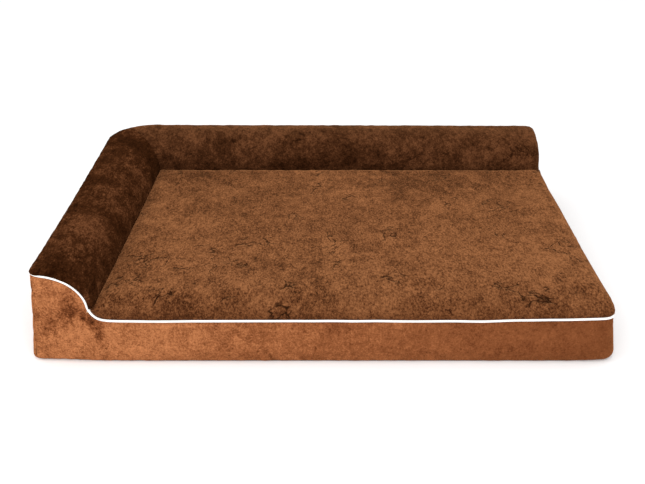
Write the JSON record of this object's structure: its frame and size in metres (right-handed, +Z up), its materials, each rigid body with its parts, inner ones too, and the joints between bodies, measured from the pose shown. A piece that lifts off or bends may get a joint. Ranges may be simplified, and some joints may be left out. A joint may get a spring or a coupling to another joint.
{
  "type": "pet cushion bed",
  "caption": "L-shaped pet bed with a flat foam mattress, a round bolster along its left side and its back, a piped plush cover and a zip across its back wall.",
  "frame": {"origin": "middle of the footprint, on the surface the bed stands on", "axes": "+X to the right along the front, +Y from the front to the back bolster, +Z up"},
  "size_m": [0.914, 0.7139, 0.157],
  "materials": {
    "plush_wall": "short-pile plush, orange brown, crushed nap with a soft sheen",
    "plush_top": "short-pile plush, dark brown, mottled nap with pressed creases",
    "non_slip_bottom": "dark woven oxford cloth with raised rubber dots",
    "piping": "white woven piping tape over a cord",
    "support_foam": "open-cell polyurethane foam",
    "memory_foam": "dense viscoelastic foam",
    "liner": "thin coated waterproof cloth",
    "zip_tape": "woven polyester zip tape",
    "zip_teeth": "nylon coil",
    "zip_metal": "plated die-cast zinc, antique finish"
  },
  "bodies": {
    "bed": {"front_panel": "plush_wall", "right_panel": "plush_wall", "left_panel": "plush_wall", "back_panel_upper": "plush_wall", "back_panel_lower": "plush_wall", "sleep_panel": "plush_top", "side_bolster_panel": "plush_top", "back_bolster_panel": "plush_top", "bottom_panel": "non_slip_bottom", "piping": "piping", "base_foam": "support_foam", "side_bolster_foam": "support_foam", "back_bolster_foam": "support_foam", "memory_foam": "memory_foam", "waterproof_liner": "liner", "zip_tape_upper": "zip_tape", "zip_tape_lower": "zip_tape", "zip_teeth_upper": "zip_teeth", "zip_teeth_lower": "zip_teeth", "zip_stop_open": "zip_metal", "zip_stop_closed": "zip_metal"},
    "slider": {"zip_slider": "zip_metal"},
    "pull": {"zip_pull": "zip_metal"}
  },
  "joints": [
    {"name": "slider_slide", "type": "slide", "parent": "bed", "child": "slider", "axis": [-1, 0, 0], "range_m": [0, 0.712]},
    {"name": "pull_swing", "type": "hinge", "parent": "slider", "child": "pull", "pos_m": [0.3767, 0.3565, 0.03], "axis": [0, 0, 1], "range_deg": [0, 180]}
  ]
}
